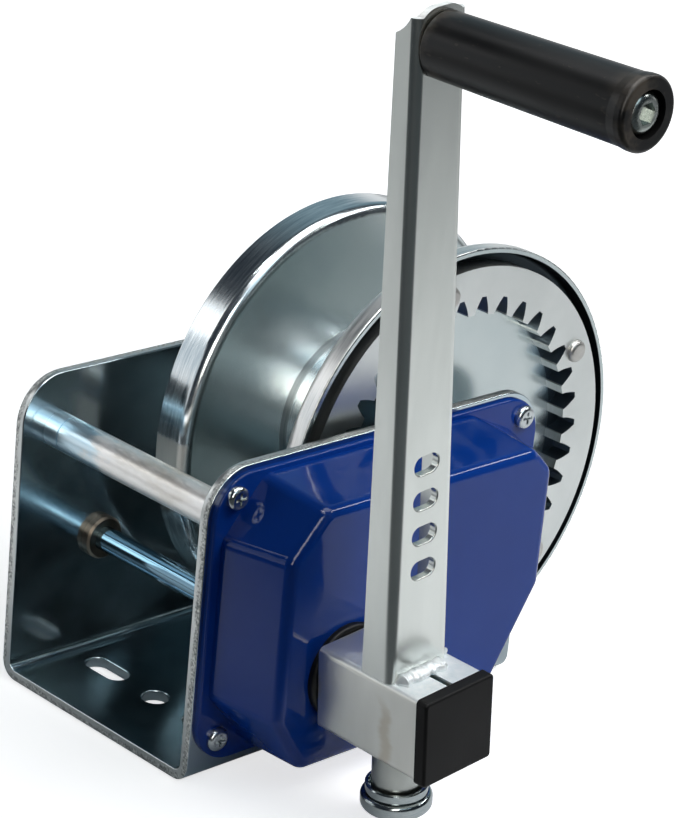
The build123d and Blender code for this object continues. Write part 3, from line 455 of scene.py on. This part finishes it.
def shaded_corner(tree, spot):
    """Painted shade in the corner between the left flange and the barrel."""
    corner = band(tree, spot.radius, BARREL_RADIUS - 0.001, BARREL_RADIUS + 0.003, 0.001)
    return both(tree, corner, ramp(tree, spot.facing, 0.6, 0.95, 0.0, 0.55))


def shaded_gaps(tree, spot):
    """Painted shade on the right flange, between the ring gear's teeth."""
    gaps = band(tree, spot.radius, RING_CREST, RING_ROOT, 0.001)
    return both(tree, gaps, ramp(tree, spot.facing, 0.6, 0.95))


def shaded_groove(tree, spot):
    """Painted shade on the right flange, in the groove between the ring gear and the rim."""
    groove = band(tree, spot.radius, RING_RIM - 0.002, FLANGE_INSIDE + 0.0003, 0.0008)
    return both(tree, groove, ramp(tree, spot.facing, -0.3, 0.0))


def shaded_teeth(tree, spot):
    """Painted shade on the flanks of the ring gear's teeth, and none on their crests."""
    flanks = ramp(tree, unsigned(tree, spot.facing), 0.75, 0.55)
    return both(tree, flanks, band(tree, spot.radius, RING_CREST + 0.0005, RING_ROOT + 0.001, 0.0004))


def rim_seam(tree, spot):
    """A dull patch at the front of the left rim, where its strip is joined."""
    ragged = spread(tree, grain(tree, 90.0, 2.0), -0.010, 0.010)
    turn = maths(tree, "ADD", dot(tree, spot.heading, UP), ragged)
    front = ramp(tree, dot(tree, spot.heading, FORWARD), 0.8, 0.9)
    patch = both(tree, band(tree, turn, -0.11, 0.075, 0.035), front)
    return both(tree, patch, ramp(tree, spot.outward, 0.3, 0.6, 0.0, 0.85))


def frame_zinc():
    """The bent sheet: smooth plated sides, a base painted darker in patches as shade, and sheared edges,
    half burnished and half torn.
    """
    material, tree, shader = start_material("frame_zinc")
    facing = split(tree, coordinates(tree, "Normal"))
    place = split(tree, coordinates(tree))
    sideways = maths(tree, "SUBTRACT", unsigned(tree, place["X"]), PLATE_INSIDE)
    depth = either(tree, sideways, maths(tree, "SUBTRACT", SHEET, place["Z"]))
    ends = ramp(tree, unsigned(tree, place["Y"]), FRAME_END - 0.0012, FRAME_END - 0.0004)
    end_cut = both(tree, ends, ramp(tree, unsigned(tree, facing["Y"]), 0.55, 0.85))
    upright = ramp(tree, place["Z"], ABOVE_BEND, ABOVE_BEND + 0.003)
    side_cut = both(tree, upright, ramp(tree, unsigned(tree, facing["X"]), 0.55, 0.25))
    cut = either(tree, end_cut, side_cut)
    wander = maths(tree, "ADD", depth, spread(tree, grain(tree, 120.0, 3.0), -0.001, 0.001))
    torn = ramp(tree, wander, 0.0016, 0.0026)
    shear = grain(tree, 900.0, 5.0)
    edge = blend_colours(tree, torn, BURNISHED, tint(tree, shear, *TORN_TONES, 0.36, 0.66))
    upward = ramp(tree, facing["Z"], 0.8, 0.95)
    inside = both(tree, upward, ramp(tree, place["Z"], SHEET + 0.003, SHEET + 0.001))
    # Painted shade: the base's top inside the frame is darkened in patches
    base_shade = both(tree, inside, spread(tree, grain(tree, 30.0, 4.0), 0.55, 0.95))
    plated = tint(tree, grain(tree, 16.0, 5.0, (1.0, 0.5, 1.0)), *SHEET_TONES)
    gloss = spread(tree, grain(tree, 70.0, 4.0), 0.12, 0.20)
    rolled = bump(tree, grain(tree, 420.0, 3.0, ALONG_SHEET_LINES), LINE_HEIGHT)
    feed(
        tree, shader,
        Base_Color=blend_colours(tree, cut, blend_colours(tree, base_shade, plated, BASE_SHADE), edge),
        Metallic=1.0,
        Roughness=blend_numbers(tree, cut, gloss, blend_numbers(tree, torn, 0.30, 0.42)),
        Normal=bump(tree, shear, TEAR_HEIGHT, both(tree, cut, torn), rolled),
    )
    return material


def tube_zinc():
    """The spacer tube: shiny on its left half, tinted blue as a painted reflection of bluish light; pale,
    dull and stained on the other.
    """
    material, tree, shader = start_material("tube_zinc")
    ragged = spread(tree, grain(tree, 110.0, 5.0, (0.5, 1.0, 1.0)), -0.014, 0.014)
    along = maths(tree, "ADD", split(tree, coordinates(tree))["X"], ragged)
    dull = ramp(tree, along, *TUBE_CHANGE)
    stains = tint(tree, grain(tree, 60.0, 5.0, (0.4, 1.0, 1.0)), *STAIN_TONES, 0.30, 0.54)
    # Blue tones on the left half: a painted reflection of bluish light
    blue = tint(tree, grain(tree, 300.0, 3.0, (0.04, 1.0, 1.0)), *TUBE_TONES_WITH_BLUE_REFLECTION)
    pits = grain(tree, 700.0, 4.0, (0.6, 1.0, 1.0))
    feed(
        tree, shader,
        Base_Color=blend_colours(tree, dull, blue, stains),
        Metallic=1.0,
        Roughness=blend_numbers(tree, dull, 0.29, spread(tree, pits, 0.33, 0.45)),
        Normal=bump(tree, pits, PIT_HEIGHT, dull),
    )
    return material


def hub_zinc():
    """The square tube: satin zinc, a brown streak on its side, and a pale painted highlight on its top round
    the weld.
    """
    material, tree, shader = start_material("hub_zinc")
    where = coordinates(tree)
    under_top = on_crank(0.0, 0.0, HUB_TOP - HIGHLIGHT_EDGE)
    height = dot(tree, vector_maths(tree, "SUBTRACT", where, under_top), ARM_UP)
    along = split(tree, where)["X"]
    edge = maths(tree, "ADD", along, spread(tree, grain(tree, 120.0, 4.0), -0.006, 0.006))
    # Painted highlight: the hub's top near the arm is pale, as if lit from above
    hub_highlight = both(tree, ramp(tree, height, 0.0, 0.0008), ramp(tree, edge, *HIGHLIGHT_START))
    wander = spread(tree, grain(tree, 60.0, 4.0, (0.2, 0.2, 1.0)), -0.004, 0.004)
    run = band(tree, maths(tree, "ADD", along, wander), *STREAK_SPAN, 0.004)
    streak = both(tree, run, ramp(tree, height, *STREAK_TOP, 0.0, 0.45))
    steel = tint(tree, grain(tree, 20.0, 5.0, ALONG_ARM), *HUB_TONES)
    stained = blend_colours(tree, streak, steel, BROWN_STREAK)
    satin = spread(tree, grain(tree, 90.0, 4.0, ALONG_ARM), 0.29, 0.36)
    feed(
        tree, shader,
        Base_Color=blend_colours(tree, hub_highlight, stained, tint(tree, grain(tree, 260.0, 5.0), *HUB_HIGHLIGHT_TONES)),
        Metallic=blend_numbers(tree, hub_highlight, 1.0, 0.45),
        Roughness=blend_numbers(tree, hub_highlight, satin, 0.45),
        Normal=bump(tree, grain(tree, 500.0, 3.0, ALONG_ARM_LINES), LINE_HEIGHT),
    )
    return material


def bead_highlight_zinc():
    """The weld beads: dull pale zinc, the pale tone a painted highlight."""
    material, tree, shader = start_material("bead_highlight_zinc")
    feed(
        tree, shader,
        Base_Color=tint(tree, grain(tree, 260.0, 5.0), *WELD_HIGHLIGHT_TONES),
        Metallic=0.45,
        Roughness=spread(tree, grain(tree, 120.0, 4.0), 0.34, 0.46),
        Normal=bump(tree, grain(tree, 900.0, 3.0), SPECK_HEIGHT),
    )
    return material


def arm_zinc():
    """The channel arm: satin zinc, with a pale, dull painted highlight on its upper edge."""
    material, tree, shader = start_material("arm_zinc")
    upward = dot(tree, coordinates(tree, "Normal"), ARM_UP)
    from_axis = vector_maths(tree, "SUBTRACT", coordinates(tree), on_crank(0.0, 0.0, 0.0))
    # Painted highlight: the arm's upward faces high on the crank are pale
    arm_highlight = both(tree, ramp(tree, upward, 0.15, 0.5), ramp(tree, dot(tree, from_axis, ARM_UP), *HIGHLIGHT_HEIGHT))
    steel = tint(tree, grain(tree, 20.0, 5.0, ALONG_ARM), *SATIN_TONES)
    pale = tint(tree, grain(tree, 220.0, 4.0), *PALE_TONES)
    satin = spread(tree, grain(tree, 90.0, 4.0, ALONG_ARM), 0.22, 0.27)
    feed(
        tree, shader,
        Base_Color=blend_colours(tree, arm_highlight, steel, pale),
        Metallic=1.0,
        Roughness=blend_numbers(tree, arm_highlight, satin, 0.55),
        Normal=bump(tree, grain(tree, 500.0, 3.0, ALONG_ARM_LINES), LINE_HEIGHT),
    )
    return material


def blue_paint():
    """Glossy dark blue enamel, slightly wavy, with a faint orange-peel surface."""
    material, tree, shader = start_material("blue_paint")
    waves = bump(tree, grain(tree, 38.0, 2.0), WAVE_HEIGHT)
    feed(
        tree, shader,
        Base_Color=tint(tree, grain(tree, 16.0, 3.0), *PAINT_TONES),
        Roughness=spread(tree, grain(tree, 60.0, 4.0), 0.05, 0.11),
        Normal=bump(tree, grain(tree, 190.0, 2.0), PEEL_HEIGHT, 0.6, waves),
        Specular_IOR_Level=0.29,
    )
    return material


def grip_plastic():
    """The grip: smooth black plastic, with dust specks, and brown patches towards its ends that are partly
    dust and partly a painted warm sheen.
    """
    material, tree, shader = start_material("grip_plastic")
    low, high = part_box("grip")
    middle, reach = (low.x + high.x) / 2, (high.x - low.x) / 2
    off = unsigned(tree, maths(tree, "SUBTRACT", split(tree, coordinates(tree))["X"], middle))
    ends = ramp(tree, off, reach * 0.72, reach * 0.95)
    # Brown patches at the ends: partly dust, partly a painted warm sheen
    end_dust_and_sheen = both(tree, ramp(tree, grain(tree, 70.0, 4.0, (0.5, 1.0, 1.0)), 0.44, 0.60), ends)
    specks = ramp(tree, grain(tree, 420.0, 2.0, (0.4, 1.0, 1.0)), 0.66, 0.74, 0.0, 0.5)
    feed(
        tree, shader,
        Base_Color=blend_colours(tree, either(tree, end_dust_and_sheen, specks), GRIP_BLACK, GRIP_DUST_AND_SHEEN),
        Roughness=spread(tree, grain(tree, 40.0, 5.0, (0.3, 1.0, 1.0)), 0.30, 0.44),
        Normal=bump(tree, grain(tree, 1800.0, 2.0), GRAIN_HEIGHT, 0.8),
        Specular_IOR_Level=0.34,
    )
    return material


def black_moulding(name, colour, rough, height, gloss=0.3):
    """Moulded plastic or lining with a fine grain and handling marks."""
    material, tree, shader = start_material(name)
    marks = grain(tree, 40.0, 5.0, (0.3, 1.0, 1.0))
    paler = tuple(c * 1.7 + 0.002 for c in colour)
    feed(
        tree, shader,
        Base_Color=tint(tree, marks, colour, paler, 0.35, 0.8),
        Roughness=spread(tree, marks, *rough),
        Normal=bump(tree, grain(tree, 1800.0, 2.0), height, 0.8),
        Specular_IOR_Level=gloss,
    )
    return material


def plain_metal(name, tones, rough):
    """Machined or sintered metal with a mottled tone."""
    material, tree, shader = start_material(name)
    mottle = grain(tree, 120.0, 5.0)
    feed(
        tree, shader,
        Base_Color=tint(tree, mottle, *tones),
        Metallic=1.0,
        Roughness=spread(tree, mottle, *rough),
        Normal=bump(tree, grain(tree, 900.0, 3.0), GRAIN_HEIGHT, 0.6),
    )
    return material


def make_materials():
    """Every finish, by the name of the record's slot."""
    return {
        "zinc_sheet": zinc("zinc_sheet", SHEET_TONES, (0.16, 0.26)),
        "satin_zinc": zinc("satin_zinc", SATIN_TONES, (0.30, 0.40), ALONG_ARM),
        "zinc_fastener": zinc("zinc_fastener", FASTENER_TONES, (0.18, 0.32)),
        # the shaft's blue tint is a painted reflection
        "shaft_steel": zinc("shaft_steel", SHAFT_TONES_WITH_BLUE_REFLECTION, (0.08, 0.14), ALONG_SHAFT),
        "gear_steel": plain_metal("gear_steel", GEAR_TONES, (0.28, 0.45)),
        "bronze": plain_metal("bronze", BRONZE_TONES, (0.30, 0.42)),
        "friction_lining": black_moulding("friction_lining", LINING_BROWN, (0.6, 0.8), PIT_HEIGHT),
        "blue_paint": blue_paint(),
        "black_rubber": black_moulding("black_rubber", RUBBER_BLACK, (0.36, 0.5), GRAIN_HEIGHT),
        "black_plastic": black_moulding("black_plastic", CAP_BLACK, (0.40, 0.54), SPECK_HEIGHT, 0.16),
        "bright_plating": zinc("bright_plating", KNOB_TONES, (0.10, 0.22)),
        "spring_steel": plain_metal("spring_steel", SPRING_TONES, (0.2, 0.35)),
    }


def special_materials():
    """Finishes of single pieces, by node."""
    face_rough = (0.22, 0.27)
    drum = (DRUM_CENTRE, ALONG)
    return {
        "frame": frame_zinc(),
        "spacer_tube": tube_zinc(),
        "drum_flange_left": spun_zinc(
            "flange_zinc", FLANGE_TONES, RIM_TONES, face_rough, (0.14, 0.26), *drum,
            marks=[(shaded_hollow, *PAINTED_SHADE), (shaded_corner, *PAINTED_SHADE), (rim_seam, *SEAM)],
        ),
        "drum_flange_right": spun_zinc(
            "gear_flange_zinc", FLANGE_TONES, PALE_TONES, face_rough, (0.29, 0.40), *drum,
            marks=[(shaded_hollow, *PAINTED_SHADE), (shaded_groove, *PAINTED_SHADE), (shaded_gaps, *GAP_SHADE)],
        ),
        "drum_barrel": spun_zinc("barrel_zinc", BARREL_TONES, BARREL_TONES, face_rough, (0.20, 0.27), *drum),
        "ring_gear": spun_zinc(
            "ring_zinc", RING_TONES, RING_TONES, (0.29, 0.36), (0.29, 0.38), *drum,
            marks=[(shaded_teeth, *GAP_SHADE)],
        ),
        "hub_tube": hub_zinc(),
        "crank_arm": arm_zinc(),
        "grip_bolt": plain_metal("bolt_steel", BOLT_TONES, (0.18, 0.34)),
        "lock_pin": spun_zinc(
            "knob_plating", KNOB_TONES, KNOB_TONES, (0.12, 0.2), (0.10, 0.24),
            centre_of("lock_pin"), ARM_UP, fine=1600.0,
        ),
        "gear_rivets": plain_metal("rivet_steel", RIVET_TONES, (0.34, 0.48)),
        "grip": grip_plastic(),
        "pin_housing": zinc("neck_zinc", NECK_TONES, (0.29, 0.36)),
    }


def dress_nodes():
    """Each CAD node gets the finish of its slot, or its own."""
    by_slot = make_materials()
    by_node = special_materials()
    for row in frame["record"]["subparts"]:
        data = NODES[row["node"]].data
        data.materials.clear()
        data.materials.append(by_node.get(row["node"]) or by_slot[row["material_slot"]])


# Weld beads

# Ends on the crank, legs out from the wall and up it, depth under the surface, and ripples, in millimetres
FRONT_BEAD_ENDS = (-17.5, 12.5)
FRONT_BEAD_LEGS = (6.4, 4.0)
SIDE_BEAD_ENDS = (140.5, 152.5)
SIDE_BEAD_LEGS = (3.8, 3.2)
BEAD_SINK = 0.6
RIPPLE_PITCH = 2.3
RIPPLE_BOW = 1.1

# Shape of a bead, as shares of its legs
BEAD_TIP = 0.12
BEAD_SIZE = 0.86
BEAD_SWELL = 0.16
BEAD_LUMPS = 0.09
BEAD_BULGE = 0.16
RIPPLE_HEIGHT = 0.018

# Steps along a bead and round it, how steeply its ends rise, and the noise of its swelling and its lumps
BEAD_STEPS = 96
BEAD_ROUND = 12
BEAD_TAPER = 3.2
SWELL_RATE = 0.22
SWELL_PLACE = (3.1, 5.0)
LUMP_RATES = (0.9, 2.0)
LUMP_PLACE = 7.0


def make_bead(name, start, end, out, legs, material):
    """A weld bead on the hub's top, from one point to another, against the wall that it runs beside."""
    shape = bmesh.new()
    rows = []
    for i in range(BEAD_STEPS + 1):
        t = i / BEAD_STEPS
        foot = start.lerp(end, t)
        along = t * (end - start).length / MM
        taper = max(BEAD_TIP, min(1.0, math.sin(math.pi * t) * BEAD_TAPER))
        swell = BEAD_SIZE + BEAD_SWELL * noise.noise(Vector((along * SWELL_RATE, *SWELL_PLACE)))
        row = []
        for j in range(BEAD_ROUND + 1):
            turn = math.pi / 2 * j / BEAD_ROUND
            bow = math.sin(2 * turn)
            ripple = RIPPLE_HEIGHT * math.cos(2 * math.pi * (along + RIPPLE_BOW * bow) / RIPPLE_PITCH)
            lumpy = Vector((along * LUMP_RATES[0], turn * LUMP_RATES[1], LUMP_PLACE))
            lump = BEAD_LUMPS * noise.noise(lumpy)
            size = (swell + ripple + lump) * taper * (1.0 + BEAD_BULGE * bow) * MM
            away = out * (legs[0] * size * math.cos(turn)) + ARM_UP * (legs[1] * size * math.sin(turn))
            row.append(shape.verts.new(foot + away))
        row.append(shape.verts.new(foot - (out + ARM_UP) * (BEAD_SINK * MM)))
        rows.append(row)
    wide = len(rows[0])
    for near, far in zip(rows, rows[1:]):
        for j in range(wide):
            k = (j + 1) % wide
            shape.faces.new((near[j], near[k], far[k], far[j]))
    shape.faces.new(list(reversed(rows[0])))
    shape.faces.new(rows[-1])
    bmesh.ops.recalc_face_normals(shape, faces=shape.faces)
    mesh = bpy.data.meshes.new(name)
    shape.to_mesh(mesh)
    shape.free()
    mesh.polygons.foreach_set("use_smooth", [True] * len(mesh.polygons))
    mesh.materials.append(material)
    bead = bpy.data.objects.new(name, mesh)
    bpy.context.scene.collection.objects.link(bead)
    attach(bead, "crank")
    return bead


def make_welds():
    """The beads at the arm's foot: along its web and beside its right wall."""
    material = bead_highlight_zinc()
    left, right = (on_crank(ARM_FACE, across, HUB_TOP) for across in FRONT_BEAD_ENDS)
    front = make_bead("weld_front", left, right, ALONG, FRONT_BEAD_LEGS, material)
    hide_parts("arm_weld")
    rear, fore = (on_crank(x, ARM_RIGHT_WALL, HUB_TOP) for x in SIDE_BEAD_ENDS)
    make_bead("weld_side", rear, fore, ARM_ACROSS, SIDE_BEAD_LEGS, material)


# Studio

WHITE = (1.0, 1.0, 1.0)
FLOOR_REACH = 8.0
FLOOR_DROP = 0.0004
FLOOR_PALE = (0.80, 0.80, 0.80)
FLOOR_DARK = (0.05, 0.06, 0.065)
WALL_DARK = (0.024, 0.032, 0.042)
WALL_REAR = (0.22, 0.32, 0.37)


def floor_white():
    """White to the camera; to other rays fading with distance, and dark on the camera's side."""
    material, tree, shader = start_material("floor_white")
    where = coordinates(tree)
    reach = length(tree, where)
    rays = add(tree, "ShaderNodeLightPath").outputs
    mirrored = either(tree, rays["Is Glossy Ray"], rays["Is Transmission Ray"])
    seen = either(tree, rays["Is Camera Ray"], mirrored)
    far = ramp(tree, reach, 0.35, 1.5, 1.0, 0.46)
    front = ramp(tree, dot(tree, where, towards_camera()), 0.15, 0.27, 1.0, 0.05)
    shown = blend_numbers(tree, rays["Is Camera Ray"], both(tree, far, front), 1.0)
    part = split(tree, where)
    beside = maths(tree, "SUBTRACT", unsigned(tree, part["X"]), PLATE_OUTSIDE)
    before = maths(tree, "SUBTRACT", unsigned(tree, part["Y"]), FRAME_END)
    clear = ramp(tree, either(tree, beside, before), 0.0, 0.14, 0.0, 0.36)
    lift = ramp(tree, reach, 0.25, 0.9, 0.72, 1.0)
    feed(
        tree, shader,
        Base_Color=blend_colours(tree, shown, FLOOR_DARK, FLOOR_PALE),
        Roughness=0.9,
        Specular_IOR_Level=0.0,
        Emission_Color=(*WHITE, 1.0),
        Emission_Strength=both(tree, both(tree, seen, shown), blend_numbers(tree, mirrored, lift, clear)),
    )
    return material


def make_floor():
    """A wide floor with the object's shadow on it."""
    sheet = bmesh.new()
    bmesh.ops.create_grid(sheet, x_segments=1, y_segments=1, size=FLOOR_REACH)
    mesh = bpy.data.meshes.new("floor")
    sheet.to_mesh(mesh)
    sheet.free()
    mesh.materials.append(floor_white())
    floor = bpy.data.objects.new("floor", mesh)
    floor.location.z = -FLOOR_DROP
    bpy.context.scene.collection.objects.link(floor)


def make_world():
    """A white backdrop low behind the object, blue-grey above it, and dark on the camera's side."""
    world = bpy.data.worlds.new("studio")
    bpy.context.scene.world = world
    world.use_nodes = True
    tree = world.node_tree
    tree.nodes.clear()
    heading = coordinates(tree, "Generated")
    depth = dot(tree, heading, towards_camera())
    behind = ramp(tree, depth, -0.10, -0.60)
    low = ramp(tree, dot(tree, heading, UP), 0.34, 0.06)
    rays = add(tree, "ShaderNodeLightPath").outputs
    white = either(tree, rays["Is Camera Ray"], both(tree, behind, low))
    wall = blend_colours(tree, ramp(tree, depth, -0.45, -0.85), WALL_DARK, WALL_REAR)
    colour = blend_colours(tree, white, wall, WHITE)
    background = add(tree, "ShaderNodeBackground", {"Color": colour, "Strength": 1.0})
    output = add(tree, "ShaderNodeOutputWorld")
    tree.links.new(background.outputs[0], output.inputs["Surface"])


def softbox(name, place, size, power, colour=WHITE, card=False, hidden=False):
    """A rectangular lamp turned to the object; a card lights only mirrors, and a hidden lamp never them."""
    data = bpy.data.lights.new(name, "AREA")
    data.shape = "RECTANGLE"
    data.size, data.size_y = size
    data.energy = power
    data.color = colour
    lamp = bpy.data.objects.new(name, data)
    lamp.location = place
    lamp.rotation_euler = (CAMERA_TARGET - Vector(place)).to_track_quat("-Z", "Y").to_euler()
    lamp.visible_camera = False
    lamp.visible_diffuse = not card
    lamp.visible_glossy = not hidden
    bpy.context.scene.collection.objects.link(lamp)


def make_lights():
    """A hidden key lamp and a low fill, softboxes on the left and right, and cards for the shiny pieces."""
    softbox("key", place=(0.83, 0.47, 1.30), size=(1.0, 0.9), power=16.0, hidden=True)
    softbox("overhead", place=(0.25, 0.10, 1.50), size=(1.3, 1.1), power=17.5, card=True)
    softbox("overhead_strip", place=(0.02, -0.25, 1.45), size=(1.20, 0.05), power=4.0, card=True)
    softbox("left_fill", place=(-0.80, -1.05, 0.20), size=(0.80, 0.30), power=2.4, hidden=True)
    softbox("front_left_low", place=(-1.03, -1.12, 0.25), size=(1.30, 0.34), power=1.25)
    softbox(
        "front_left_mid", place=(-1.02, -1.09, 0.58), size=(1.30, 0.34), power=1.08,
        colour=(0.88, 0.95, 1.0),
    )
    softbox("left_high", place=(-1.02, -0.90, 0.91), size=(0.60, 0.34), power=1.3, card=True)
    softbox(
        "camera_side", place=(1.10, -1.16, 0.76), size=(0.50, 0.56), power=5.4,
        colour=(1.0, 0.95, 0.88), card=True,
    )
    softbox("right_rear", place=(0.66, 1.08, 1.26), size=(1.00, 0.10), power=5.0, card=True)
    softbox("camera_above", place=(0.90, -0.81, 1.10), size=(0.40, 0.26), power=2.2, card=True)
    softbox(
        "right_high", place=(1.00, -0.30, 1.10), size=(0.70, 0.60), power=2.0,
        colour=(0.72, 0.90, 1.0),
    )


make_camera()
dress_nodes()
make_welds()
make_floor()
make_world()
make_lights()
bpy.context.scene.view_settings.view_transform = "Standard"
